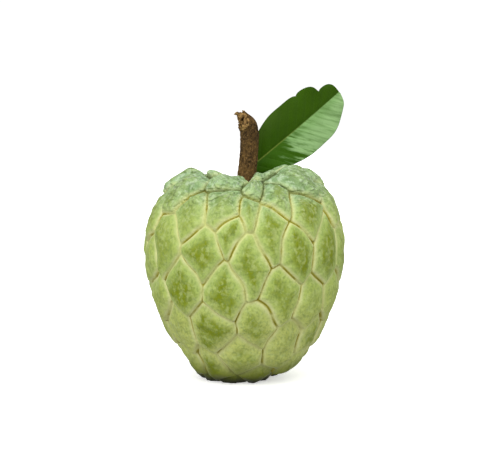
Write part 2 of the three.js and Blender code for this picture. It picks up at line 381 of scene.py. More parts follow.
def fruit_surface(settings):
    """Points, faces and attributes of the fruit.

    The grid runs down the skin in rows and round it in columns. A point's height over the skin
    is a rounded rim along its seam, plus a broad rounded swell to the carpel's middle, plus a
    tilt that lifts each carpel's lower end over the next one's top, minus a narrow crease on
    the seam itself. Unevenness is added that is strongest on the shoulder: waves, and wrinkles
    that are 1 minus twice the size of other waves. The carpels swell most on the shoulder and
    somewhat more at the foot, and their skin is also drawn downwards as it rises, which makes
    them bulge over the seam below. Nothing goes below the resting surface."""
    rows, columns = settings.rows, settings.columns
    carpels = Carpels()
    step_down = SKIN_LENGTH / (rows + 1)
    way, azimuth = np.meshgrid(
        np.linspace(step_down, SKIN_LENGTH - step_down, rows),
        np.linspace(0, 2 * math.pi, columns, endpoint=False),
        indexing="ij",
    )
    way, azimuth = way.ravel(), azimuth.ravel()
    step_round = at_way(OUTLINE_CURVE, way)[:, 0] * 2 * math.pi / columns
    azimuth, way, on_seam = move_to_seams(carpels, azimuth, way, step_round, step_down)

    point, _round, down, out = skin_frame(azimuth, way)
    own, apart, slope, along = carpels.nearest_pair(point)
    slope -= (slope * out).sum(-1, keepdims=True) * out
    seam = np.where(on_seam, 0, apart / np.maximum(np.linalg.norm(slope, axis=-1), 0.05))
    seam = np.minimum(seam, 9)
    drop = np.clip(along / 6.5, -1, 1)
    shoulder = smooth((SHOULDER_END - way) / 25)
    ends = smooth((way - 7.5) / 14) * smooth((SKIN_LENGTH - way) / 6)

    foot = smooth((way - FOOT_START) / 14)
    rim = settings.rim_height / MM * (1 + 0.6 * shoulder)
    swell = settings.swell / MM * (1 + 0.9 * shoulder + 0.35 * foot)
    lift = rim * rounded(seam / RIM_REACH) + swell * rounded(seam / SWELL_REACH)
    tilt = settings.tilt / MM * (1 + 0.6 * smooth((way - 75) / 25) + 0.9 * shoulder)
    lift += tilt * drop * rounded(seam / TILT_REACH)
    uneven = mix(0.16, 0.4, shoulder) * waves(point, 7, 11)
    wrinkles = 1 - 2 * abs(waves(point * np.array([1, 1, 1.6]), 10, 12))
    uneven += mix(0.1, 0.5, shoulder) * np.clip(wrinkles, -1, 1)
    lift += uneven * settings.unevenness * rounded(seam / LUMP_REACH)
    crease = settings.crease_depth / MM * np.exp(-((seam / CREASE_SPREAD) ** 2))
    height = ends * lift - crease * smooth((way - 9) / 6)
    sag = mix(0.15, 0.5, shoulder) * height * smooth((drop + 0.1) / 0.9) * ends
    surface = point + out * height[:, None] + down * sag[:, None]

    poles = skin_point(np.zeros(2), np.array([0, SKIN_LENGTH]))
    surface = np.vstack([surface, poles])
    surface[:, 2] = np.maximum(surface[:, 2], 0)

    tones = np.random.default_rng(5).uniform(0.45, 1, len(carpels.width))
    tones[OLIVE_CARPELS] = 0
    attributes = {
        "seam": np.append(seam, [6, 6]),
        "shoulder": np.append(shoulder, [1, 0]),
        "drop": np.append(drop, [0, 0]),
        "lump": np.append(uneven, [0, 0]),
        "tone": np.append(tones[own], [0.5, 0.5]),
    }
    return surface, grid_faces(rows, columns, height), attributes


# ---- The stalk ----

# The stalk's centre line, from inside the hollow to the middle of the torn end.
STALK_LINE = [
    (0.2, 0, 76.2),
    (0.4, 0, 80),
    (0.75, 0, 85),
    (1.35, 0, 90.5),
    (1.95, 0, 97),
    (2.1, -0.05, 102.5),
    (1.55, -0.35, 106),
    (0.15, -1, 108.7),
]
# How far round the stalk, in radians from +X to the back, its high tongue of bark stands.
TONGUE_TURN = 0.9


def line_frame(line, way, step=0.4):
    """A point on a centre line with its direction and the two directions square to it: the
    first lies as near +X as it can, and the second is the cross product of the other two."""
    length = ways_along(line)[-1]
    ahead = unit(
        at_way(line, np.minimum(way + step, length)) - at_way(line, np.maximum(way - step, 0))
    )
    side = np.array([1.0, 0, 0]) - ahead[..., :1] * ahead
    side = unit(side)
    return at_way(line, way), ahead, side, np.cross(ahead, side)


def stalk_surface(settings):
    """Points, faces and attributes of the stalk: one closed skin carried along the centre line,
    outwards over the flat lower end, up the bark, then over the torn rim and inwards.

    The bark's radius is even, wider at the fruit, with long low ridges, knobs and a rough
    skin. The end is torn at a slant: its back and right side is a high tongue of bark that
    leans far inwards, and its front and left side is low. The torn face has dark pits, and a
    broken core that stands to the right of its middle."""
    line = curve_through(STALK_LINE)
    length = ways_along(line)[-1]
    columns = settings.columns
    turn = np.linspace(0, 2 * math.pi, columns, endpoint=False)[None, :]
    base = np.linspace(0, 1, 8, endpoint=False)[1:, None]
    bark = np.linspace(0, 1, settings.rows)[:, None]
    torn = np.linspace(1, 0, 44, endpoint=False)[1:, None]

    share = np.vstack([base, np.ones_like(bark), torn])
    way = np.vstack([0 * base, bark * length, 0 * torn + length]) + 0 * turn
    inside = np.vstack([0 * base, 0 * bark, 1 - torn]) + 0 * turn
    centre, ahead, side, front = line_frame(line, way)

    radius = settings.radius / MM + 0.9 * smooth(1 - way / 9)
    unrolled = np.stack(
        [4 * np.cos(turn) + 0 * way, 4 * np.sin(turn) + 0 * way, way * 0.28], -1
    )
    ridges = waves(unrolled, 1.7, 21)
    knobs = waves(unrolled * np.array([1, 1, 3.4]), 1.6, 22)
    broad = waves(unrolled, 9, 23)
    bark_lift = settings.bark_relief / MM * (0.5 * ridges + 0.45 * knobs) + 0.22 * broad
    teeth = waves(np.stack([4 * np.cos(turn), 4 * np.sin(turn), 0 * turn], -1), 2.4, 24)
    tongue = smooth(0.5 + 0.6 * np.cos(turn - TONGUE_TURN))
    near_end = smooth((way - (length - 5)) / 5) * (inside == 0) + (inside > 0)
    lean = 1 - 0.5 * tongue * near_end**2
    across, back = share * np.cos(turn), share * np.sin(turn)
    slant = 2.5 * share * np.cos(turn - TONGUE_TURN) + 0.5 * tongue * share

    def spot(middle_across, middle_back, size):
        """1 in the middle of a round spot of the torn face, fading out with the square."""
        off = (across - middle_across) ** 2 + (back - middle_back) ** 2
        return np.exp(-off / size**2)

    pits = np.minimum(spot(-0.5, -0.05, 0.24) + spot(-0.22, 0.5, 0.2) + spot(0.1, -0.55, 0.16), 1)
    splinters = waves(np.stack([4 * across, 4 * back, 0 * way], -1), 1.5, 25)
    face = 0.45 * teeth * smooth(1 - inside / 0.2) + 0.4 * splinters * smooth(inside / 0.2)
    face += 0.9 * spot(0.32, 0, 0.34) - 2.6 * pits * smooth(inside / 0.12)
    up = np.where(inside > 0, slant + face, (slant + 0.45 * teeth) * near_end)
    reach = share * (radius + bark_lift * (share > 0.99)) * lean
    points = centre + ahead * up[..., None]
    points += side * (reach * np.cos(turn))[..., None]
    points += front * (reach * np.sin(turn))[..., None]
    # The torn wood starts over a thin uneven lip, and on the tongue only behind its edge.
    lip = 0.9 + 0.6 * teeth - 1.2 * tongue
    torn_share = smooth((way - length + lip) / 0.4) * (inside == 0)
    torn_share = np.maximum(torn_share, smooth((inside - 0.25 * tongue) / 0.1) * (inside > 0))
    depth = np.where(inside > 0, pits, 0)

    rows = points.shape[0]
    points = points.reshape(-1, 3)
    first = np.array([STALK_LINE[0]])
    last = points[-columns:].mean(0, keepdims=True)
    attributes = {
        "torn": np.append(torn_share.ravel(), [0, 1]),
        "depth": np.append(depth.ravel(), [0, 0.1]),
        "ridge": np.append((ridges + 0.6 * knobs).ravel(), [0, 0]),
    }
    faces = turned_over(grid_faces(rows, columns))
    return np.vstack([points, first, last]), faces, attributes


# The torn end's splinters: root, tip, width at the root, and which way it curls.
SPLINTERS = [
    ((-0.9, 0.2, 109.2), (-4.2, -1.6, 110.9), 3.2, (-0.3, 0, 0.9)),
    ((-1.8, -0.8, 107.4), (-2.7, -1.9, 109.8), 1.6, (-0.1, 0, 0.1)),
    ((0.2, 1.2, 110.9), (-0.9, 0.2, 112.4), 1.3, (-0.1, 0, 0.3)),
    ((-1.7, -2.6, 104.8), (-2.1, -3.3, 106.8), 1.6, (-0.1, -0.2, 0)),
    ((0.9, -1.2, 107.6), (0.9, -2, 109.6), 2.2, (0.1, -0.4, 0.1)),
    ((-0.5, -3.1, 105.3), (-0.8, -3.7, 106.7), 1.3, (0, -0.2, 0)),
]


def splinter_surface():
    """Points, faces and attributes of all the splinters: each is a flat blade, a third as thick
    as wide. Its width shrinks from root to tip with the square root of what is left, times a
    wavy factor. It is bent along an arc: the straight line from root to tip plus the curl times
    4 t (1 - t)."""
    rows, columns = 16, 12
    t = np.linspace(0, 1, rows)[:, None]
    turn = np.linspace(0, 2 * math.pi, columns, endpoint=False)[None, :]
    points, faces, tips = [], [], []
    for number, (root, tip, width, curl) in enumerate(SPLINTERS):
        root, tip, curl = (np.array(v, float) for v in (root, tip, curl))
        ahead = unit(tip - root)
        side = unit(np.cross(ahead, [0.3, 1, 0.2]))
        flat = np.cross(ahead, side)
        middle = root + (tip - root) * t + curl * 4 * t * (1 - t)
        jag = 1 + 0.22 * np.sin(9 * t + 2 * number) + 0.12 * np.sin(23 * t + number)
        half = width / 2 * np.sqrt(1 - 0.985 * t) * jag
        body = middle[:, None, :] + side * (half * np.cos(turn))[..., None]
        body = body + flat * (half / 3 * np.sin(turn))[..., None]
        points += [body.reshape(-1, 3), middle[:1], middle[-1:]]
        faces.append(turned_over(grid_faces(rows, columns)) + number * (rows * columns + 2))
        tips += [np.repeat(t.ravel(), columns), [0, 1]]
    points = np.vstack(points)
    tips = np.concatenate(tips)
    return points, np.vstack(faces), {"torn": 0 * tips + 1, "depth": 0 * tips, "ridge": tips}


# ---- The leaf ----

LEAF_FOOT = np.array([0.1, 5.3, 86.5])
LEAF_HEADING, LEAF_RISE = math.radians(25), math.radians(37)
LEAF_LENGTH = 56.0
# Each half's outline as (distance along the midrib, half width). The upper margin is made of
# three lobes, and the widest of them counts, so they meet in sharp notches.
UPPER_LOBES = [
    [(0, 0.8), (2, 1), (5, 4), (9, 8), (15, 11.4), (20, 12.9), (27, 13.5), (33, 13.6),
     (37, 12.3), (39.5, 9), (41, 3)],
    [(33, 3), (35.2, 9), (37.2, 12.1), (40, 12.8), (43.5, 12.1), (45.8, 10.5), (47, 7.8),
     (47.4, 4.5), (47.6, 2)],
    [(45.6, 2), (46, 5), (47, 6.9), (49.5, 7.4), (53, 6.5), (55.2, 4.2), (56, 0.4)],
]
LOWER_LOBES = [
    [(0, 0.8), (1.5, 1.1), (4, 4.4), (9.5, 7.2), (15, 9.8), (20.5, 11.7), (26, 12.7),
     (33, 13.3), (40, 12.8), (45, 11.6), (48.5, 10), (52.3, 7.3), (54.8, 4.6), (56, 0.4)],
]


def half_width(lobes, distance):
    """The leaf's width to one side of its midrib: the widest lobe at that distance."""
    curves = [curve_through(lobe) for lobe in lobes]
    widths = [np.interp(distance, c[:, 0], c[:, 1], left=0, right=0) for c in curves]
    return np.maximum(np.max(widths, 0), 0.35)


def leaf_surface(settings):
    """Points, faces, attributes and UV places of the leaf.

    Rows run along the midrib and columns round the blade: over its face from the lower margin
    to the upper, and back behind it. A point's place across is a share of that side's half
    width. Its height off the leaf's plane is the fold, which lifts both halves to the front,
    plus the blade's arch, plus low pillows between the side veins, plus a soft wave along the
    margin. The blade's thickness goes to nothing at its margins, and the midrib stands out
    behind as a half-round rib that shrinks to the tip."""
    rows, half = settings.rows, settings.columns
    t = np.linspace(0, math.pi, rows + 2)[1:-1, None]
    distance = LEAF_LENGTH * mix(0.5 - np.cos(t) / 2, t / math.pi, 0.45)
    across = np.linspace(-1, 1, half + 1)
    across = np.sign(across) * abs(across) ** 1.15
    across = np.concatenate([across[:-1], across[:0:-1]])[None, :]
    front = np.concatenate([np.ones(half), -np.ones(half)])[None, :]
    front = np.where(abs(across) > 0.9999, 0, front)

    upper, lower = half_width(UPPER_LOBES, distance), half_width(LOWER_LOBES, distance)
    width = np.where(across > 0, upper, lower) * across
    along = distance / LEAF_LENGTH
    fold = settings.fold * smooth(distance / 15)
    # A side vein leaves the midrib at a slant: it is where the distance along the midrib, less
    # a share of the distance out, is a whole number of vein gaps.
    gap = settings.vein_gap / MM
    phase = (distance - 0.75 * abs(width) + np.where(across > 0, 0.35 * gap, 0)) / gap
    to_vein = abs(phase - np.round(phase)) * gap
    blade = smooth((abs(width) - 0.4) / 1.5) * smooth((1 - abs(across)) / 0.25)
    vein = np.exp(-((to_vein / 0.35) ** 2)) * blade * smooth((distance - 3) / 6)
    pillow = 0.16 * smooth(to_vein / (gap / 2)) * blade
    ripple = 0.5 * across**4 * np.sin(distance * 0.42 + np.where(across > 0, 1, 2.6))
    arch = 0.9 * np.sin(math.pi * along) - 0.035 * width**2 / 4
    height = abs(width) * np.sin(fold) + arch + pillow + ripple * smooth(distance / 12)

    petiole = smooth(1 - distance / 4)
    edge = np.sqrt(np.maximum(1 - abs(across) ** mix(8, 2, petiole), 0))
    thick = mix(settings.thickness / MM, 1.5, petiole) / 2 * edge
    midrib = np.exp(-((width / mix(0.75, 0.3, along)) ** 2)) * (1 - along) ** 0.6
    rib = np.where(front < 0, 0.75 * midrib + 0.1 * vein, -0.1 * midrib - 0.07 * vein)
    offset = front * (thick + np.where(front < 0, rib, 0)) + np.where(front > 0, rib, 0)

    heading, rise = LEAF_HEADING, LEAF_RISE
    ahead = np.array(
        [
            math.cos(rise) * math.cos(heading),
            math.cos(rise) * math.sin(heading),
            math.sin(rise),
        ]
    )
    face = np.array([math.sin(heading), -math.cos(heading), 0])
    upwards = unit(np.cross(face, ahead))
    points = LEAF_FOOT + ahead * distance[..., None] + upwards * (width * np.cos(fold))[..., None]
    points = points + face * (height + offset)[..., None]
    first = LEAF_FOOT - ahead * 0.3
    last = points[-1].mean(0) + ahead * 0.05
    uv = np.stack([along + 0 * width, 0.5 + width / 30], -1).reshape(-1, 2)
    attributes = {
        "side": np.append((across + 0 * distance).ravel(), [0, 0]),
        "vein": np.append(vein.ravel(), [0, 0]),
        "midrib": np.append(np.exp(-((width / mix(0.3, 0.16, along)) ** 2)).ravel(), [1, 1]),
        "back": np.append((0 * distance + (front < 0)).ravel(), [0, 0]),
    }
    points = np.vstack([points.reshape(-1, 3), first, last])
    uv = np.vstack([uv, [0, 0.5], [1, 0.5]])
    return points, grid_faces(rows, 2 * half), attributes, uv


# ---- Materials ----


class Graph:
    """A node tree that is being filled in."""

    def __init__(self, tree):
        self.tree = tree

    def fill(self, node, inputs):
        """Gives a node's inputs values or joins them to sockets. Inputs are named or
        numbered."""
        for key, value in inputs.items():
            if isinstance(value, bpy.types.NodeSocket):
                self.tree.links.new(value, node.inputs[key])
            else:
                node.inputs[key].default_value = value

    def add(self, kind, inputs=None, **settings):
        """Adds a node, sets its settings and fills its inputs."""
        node = self.tree.nodes.new(kind)
        for key, value in settings.items():
            setattr(node, key, value)
        self.fill(node, inputs or {})
        return node

    def attribute(self, name):
        """A number that the piece's points carry."""
        return self.add("ShaderNodeAttribute", attribute_name=name).outputs["Fac"]

    def ramp(self, value, low, high, start=0.0, end=1.0):
        """A soft step: start where the value is low, end where it is high."""
        inputs = {"Value": value, 1: low, 2: high, 3: start, 4: end}
        node = self.add("ShaderNodeMapRange", inputs, interpolation_type="SMOOTHSTEP")
        return node.outputs["Result"]

    def maths(self, operation, a, b=0.0):
        """One sum of two numbers."""
        return self.add("ShaderNodeMath", {0: a, 1: b}, operation=operation).outputs[0]

    def blend(self, share, under, over):
        """One colour laid over another by a share."""
        node = self.add("ShaderNodeMix", data_type="RGBA")
        self.fill(node, {"Factor": share, 6: under, 7: over})
        return node.outputs[2]

    def noise(self, vector, scale, detail=3.0, roughness=0.55, distortion=0.0):
        """Cloudy noise from 0 to 1."""
        inputs = {
            "Vector": vector,
            "Scale": scale,
            "Detail": detail,
            "Roughness": roughness,
            "Distortion": distortion,
        }
        return self.add("ShaderNodeTexNoise", inputs).outputs["Fac"]


def colour(code, alpha=1.0):
    """A hex colour as the linear numbers that a colour socket takes."""
    parts = [int(code[i : i + 2], 16) / 255 for i in (1, 3, 5)]
    linear = [c / 12.92 if c <= 0.04045 else ((c + 0.055) / 1.055) ** 2.4 for c in parts]
    return (*linear, alpha)


def new_group(name, inputs, outputs):
    """An empty node group with its named sockets. Returns its graph, inputs and outputs."""
    if name in bpy.data.node_groups:
        bpy.data.node_groups.remove(bpy.data.node_groups[name])
    tree = bpy.data.node_groups.new(name, "ShaderNodeTree")
    for in_out, sockets in (("INPUT", inputs), ("OUTPUT", outputs)):
        for socket, (kind, value) in sockets.items():
            made = tree.interface.new_socket(socket, in_out=in_out, socket_type=kind)
            if value is not None:
                made.default_value = value
    graph = Graph(tree)
    return graph, graph.add("NodeGroupInput").outputs, graph.add("NodeGroupOutput").inputs


def speckle_group():
    """Fine speckles: where fine noise is over a level, a colour is laid over the one under it.
    The noise can be stretched along Z by its own amount."""
    graph, given, out = new_group(
        "speckles",
        {
            "Vector": ("NodeSocketVector", None),
            "Under": ("NodeSocketColor", None),
            "Over": ("NodeSocketColor", None),
            "Scale": ("NodeSocketFloat", 900.0),
            "Level": ("NodeSocketFloat", 0.5),
            "Amount": ("NodeSocketFloat", 0.5),
            "Stretch": ("NodeSocketFloat", 1.0),
        },
        {"Color": ("NodeSocketColor", None), "Mask": ("NodeSocketFloat", None)},
    )
    squeeze = graph.add("ShaderNodeCombineXYZ", {"X": 1.0, "Y": 1.0, "Z": given["Stretch"]})
    vector = graph.add(
        "ShaderNodeVectorMath",
        {0: given["Vector"], 1: squeeze.outputs[0]},
        operation="MULTIPLY",
    ).outputs[0]
    noise = graph.noise(vector, given["Scale"], 3.0, 0.6)
    top = graph.maths("ADD", given["Level"], 0.16)
    mask = graph.ramp(noise, given["Level"], top)
    share = graph.maths("MULTIPLY", mask, given["Amount"])
    graph.tree.links.new(graph.blend(share, given["Under"], given["Over"]), out["Color"])
    graph.tree.links.new(mask, out["Mask"])
    return graph.tree


def grain_group():
    """A rough skin's height: coarse noise plus a share of fine noise."""
    graph, given, out = new_group(
        "grain",
        {
            "Vector": ("NodeSocketVector", None),
            "Coarse": ("NodeSocketFloat", 400.0),
            "Fine": ("NodeSocketFloat", 1400.0),
            "Fine share": ("NodeSocketFloat", 0.4),
        },
        {"Height": ("NodeSocketFloat", None)},
    )
    coarse = graph.noise(given["Vector"], given["Coarse"], 3.0)
    fine = graph.noise(given["Vector"], given["Fine"], 2.0)
    height = graph.maths("ADD", coarse, graph.maths("MULTIPLY", fine, given["Fine share"]))
    graph.tree.links.new(height, out["Height"])
    return graph.tree


def new_material(name, **constants):
    """A material with a Principled surface: returns it, its graph and its shader. The given
    constants are set on the shader's own sockets."""
    if name in bpy.data.materials:
        bpy.data.materials.remove(bpy.data.materials[name])
    material = bpy.data.materials.new(name)
    material.use_nodes = True
    graph = Graph(material.node_tree)
    graph.tree.nodes.clear()
    shader = graph.add("ShaderNodeBsdfPrincipled")
    for key, value in constants.items():
        shader.inputs[key.replace("_", " ")].default_value = value
    graph.add("ShaderNodeOutputMaterial", {"Surface": shader.outputs[0]})
    return material, graph, shader


def place_group(graph, tree, inputs):
    """A group node for a node group."""
    node = graph.add("ShaderNodeGroup", node_tree=tree)
    graph.fill(node, inputs)
    return node.outputs


def node_group(name, make):
    """The node group of a name, made the first time that it is asked for."""
    return bpy.data.node_groups.get(name) or make()


def skin_material(settings):
    """The fruit's skin: yellow-green carpels, bluer, bloomy and wrinkled on the shoulder, with
    painted shade in its dents, its wrinkle valleys and its shoulder seams, and painted shade that
    darkens the foot. Each has its own tone and a pale rim, the olive ones have a mottled olive
    middle, and the seams between them are brown in places."""
    material, graph, shader = new_material("waxy_skin", IOR=1.4, Specular_IOR_Level=0.3)
    place = graph.add("ShaderNodeTexCoord").outputs["Object"]
    seam, shoulder = graph.attribute("seam"), graph.attribute("shoulder")
    drop, tone = graph.attribute("drop"), graph.attribute("tone")
    height = graph.add("ShaderNodeSeparateXYZ", {0: place}).outputs["Z"]
    speckles = node_group("speckles", speckle_group)
    grain = node_group("grain", grain_group)

    clouds = graph.noise(place, 120.0, 2.0)
    streaked = graph.add(
        "ShaderNodeVectorMath", {0: place, 1: (1.0, 1.0, 0.5)}, operation="MULTIPLY"
    ).outputs[0]
    blotches = graph.noise(streaked, 420.0, 3.0, 0.6)
    body = graph.blend(shoulder, (*settings.flank_green, 1), (*settings.shoulder_green, 1))
    body = graph.blend(graph.ramp(height, 0.045, 0.02), body, (*settings.lower_green, 1))
    body = graph.blend(graph.maths("MULTIPLY", tone, 0.25), body, colour("#b3bf55"))
    body = graph.blend(graph.ramp(clouds, 0.5, 0.68, 0, 0.4), body, colour("#b4c66a"))

    # The low places of the uneven skin on the shoulder are painted darker: painted shade in the
    # dents.
    dent_shade = graph.ramp(graph.attribute("lump"), 0.15, -0.45)
    dent_shade = graph.maths("MULTIPLY", dent_shade, graph.ramp(shoulder, 0.0, 0.8, 0.15, 0.42))
    body = graph.blend(dent_shade, body, colour("#5b8048"))

    # Wrinkles: soft valleys where flattened noise crosses its middle value. The valleys are painted
    # darker green on the shoulder: painted shade, where the bump below also sinks them.
    flattened = graph.add(
        "ShaderNodeVectorMath", {0: place, 1: (1.0, 1.0, 1.5)}, operation="MULTIPLY"
    ).outputs[0]
    folds = graph.maths("SUBTRACT", graph.noise(flattened, 210.0, 1.0), 0.5)
    folds = graph.ramp(graph.maths("ABSOLUTE", folds), -0.02, 0.16)
    valley_shade = graph.maths("SUBTRACT", 1.0, folds)
    valley_shade = graph.maths("MULTIPLY", valley_shade, graph.ramp(shoulder, 0.0, 0.7, 0.0, 0.22))
    body = graph.blend(valley_shade, body, colour("#64874a"))

    # The olive middle: inside the rim and low down, in streaks, mostly in the olive carpels.
    middle = graph.maths("MULTIPLY", graph.ramp(seam, 2.0, 6.5), graph.ramp(drop, -1.2, -0.3, 0.5))
    own = graph.maths("MULTIPLY", graph.ramp(tone, 0.0, 1.0, 1.0, 0.1), middle)
    body = graph.blend(graph.maths("MULTIPLY", own, 0.8), body, colour("#83943a"))
    patchy = graph.maths("MULTIPLY", own, graph.ramp(blotches, 0.4, 0.56, 0.3))
    patchy = graph.maths("MULTIPLY", patchy, graph.ramp(shoulder, 0.3, 1.0, 1.0, 0.4))
    body = graph.blend(patchy, body, colour("#7d8c0c"))

    body = place_group(
        graph,
        speckles,
        {
            "Vector": place,
            "Under": body,
            "Over": colour("#6b8442"),
            "Scale": 1000.0,
            "Level": 0.46,
            "Amount": graph.ramp(seam, 0.8, 2.5, 0.1, 0.4),
            "Stretch": 0.8,
        },
    )["Color"]
    body = place_group(
        graph,
        speckles,
        {
            "Vector": place,
            "Under": body,
            "Over": graph.blend(shoulder, colour("#c6d48a"), colour("#d6e6cb")),
            "Scale": 520.0,
            "Level": 0.48,
            "Amount": graph.ramp(shoulder, 0.0, 1.0, 0.35, 0.4),
            "Stretch": 0.8,
        },
    )["Color"]

    # The rim of a carpel is broad, pale and patchy, with a thin paler edge.
    paler = graph.ramp(shoulder, 0.2, 1.0, 0.9, 0.3)
    rim = graph.maths("MULTIPLY", graph.ramp(seam, 2.3, 0.4), paler)
    rim = graph.maths("MULTIPLY", rim, graph.ramp(clouds, 0.38, 0.6, 0.3, 1.0))
    body = graph.blend(rim, body, colour("#d7dd9e"))
    edge = graph.maths("MULTIPLY", graph.ramp(seam, 1.2, 0.5, 0.0, 0.55), paler)
    body = graph.blend(edge, body, colour("#e6e6a2"))

    # The foot is painted darker downwards, almost to black where it rests: painted shade under the
    # fruit.
    foot = graph.ramp(height, 0.013, 0.002, 0.0, 0.95)
    body = graph.blend(foot, body, (*settings.foot_shade_green, 1))
    body = graph.blend(graph.ramp(height, 0.0045, 0.0005), body, colour("#23270c"))

    # The crease in a seam is brown where the clouds are light. On the shoulder it is painted dark
    # green: painted shade between the bulging carpels.
    crease = graph.ramp(seam, 0.7, 0.1)
    coming = graph.maths("MAXIMUM", graph.ramp(clouds, 0.42, 0.58, 0.15, 1.0), shoulder)
    crease = graph.maths("MULTIPLY", crease, coming)
    crease_brown_and_shade = graph.blend(
        graph.ramp(shoulder, 0.5, 1.0), (*settings.seam_brown, 1), colour("#66753c")
    )
    body = graph.blend(graph.maths("MULTIPLY", crease, 0.95), body, crease_brown_and_shade)
    deep = graph.maths("MULTIPLY", graph.ramp(seam, 0.25, 0.02), graph.ramp(clouds, 0.54, 0.66))
    body = graph.blend(graph.maths("MULTIPLY", deep, 0.6), body, colour("#756408"))
    graph.tree.links.new(body, shader.inputs["Base Color"])

    rough = graph.ramp(blotches, 0.3, 0.7, 0.5, 0.66)
    graph.tree.links.new(rough, shader.inputs["Roughness"])
    relief = place_group(
        graph, grain, {"Vector": place, "Coarse": 420.0, "Fine": 1300.0, "Fine share": 0.35}
    )["Height"]
    relief = graph.maths("MULTIPLY", relief, graph.ramp(shoulder, 0.0, 1.0, 0.5, 0.8))
    wrinkled = graph.maths("MULTIPLY", folds, graph.ramp(shoulder, 0.0, 0.7, 0.05, 0.7))
    relief = graph.maths("ADD", relief, wrinkled)
    bump = graph.add("ShaderNodeBump", {"Height": relief, "Strength": 1.0, "Distance": 0.001})
    graph.tree.links.new(bump.outputs[0], shader.inputs["Normal"])
    return material


def bark_material(settings):
    """The stalk: brown bark with tan flecks and dark pits, painted shade in the grooves between its
    ridges, redder near the fruit, and torn tan wood whose holes at its end are painted near-black
    as shade."""
    material, graph, shader = new_material("stalk_bark", IOR=1.4, Specular_IOR_Level=0.2)
    place = graph.add("ShaderNodeTexCoord").outputs["Object"]
    torn, depth = graph.attribute("torn"), graph.attribute("depth")
    ridge = graph.attribute("ridge")
    height = graph.add("ShaderNodeSeparateXYZ", {0: place}).outputs["Z"]
    speckles = node_group("speckles", speckle_group)
    grain = node_group("grain", grain_group)

    clouds = graph.noise(place, 260.0, 3.0)
    bark = graph.blend(graph.ramp(clouds, 0.35, 0.65), (*settings.bark_brown, 1), colour("#5f4827"))
    red = graph.maths("MULTIPLY", graph.ramp(height, 0.098, 0.084), 0.6)
    bark = graph.blend(red, bark, colour("#735530"))
    # The low places between the bark's ridges and knobs are painted near-black brown: painted shade
    # in its grooves.
    bark = graph.blend(graph.ramp(ridge, -0.1, -1.1, 0, 0.65), bark, colour("#2e2110"))
    flecks = {"Vector": place, "Scale": 1700.0, "Stretch": 0.7}
    bark = place_group(
        graph,
        speckles,
        {**flecks, "Under": bark, "Over": colour("#9c7a48"), "Level": 0.5, "Amount": 0.5},
    )["Color"]
    flecks["Scale"] = 1300.0
    bark = place_group(
        graph,
        speckles,
        {**flecks, "Under": bark, "Over": colour("#20150a"), "Level": 0.5, "Amount": 0.5},
    )["Color"]
    grained = graph.ramp(graph.noise(place, 700.0, 3.0), 0.35, 0.65)
    wood = graph.blend(grained, colour("#50381a"), colour("#b8945c"))
    wood = graph.blend(graph.ramp(ridge, -0.2, -1.0, 0, 0.5), wood, colour("#5d4220"))
    # The pits in the torn face are painted near-black: painted shade in the holes.
    wood = graph.blend(graph.ramp(depth, 0.12, 0.5), wood, colour("#150c03"))
    body = graph.blend(torn, bark, wood)
    graph.tree.links.new(body, shader.inputs["Base Color"])
    graph.tree.links.new(graph.ramp(clouds, 0.3, 0.7, 0.75, 0.95), shader.inputs["Roughness"])
    relief = place_group(
        graph, grain, {"Vector": place, "Coarse": 900.0, "Fine": 2600.0, "Fine share": 0.4}
    )["Height"]
    bump = graph.add(
        "ShaderNodeBump", {"Height": relief, "Strength": 0.8, "Distance": 0.0006}
    )
    graph.tree.links.new(bump.outputs[0], shader.inputs["Normal"])
    return material


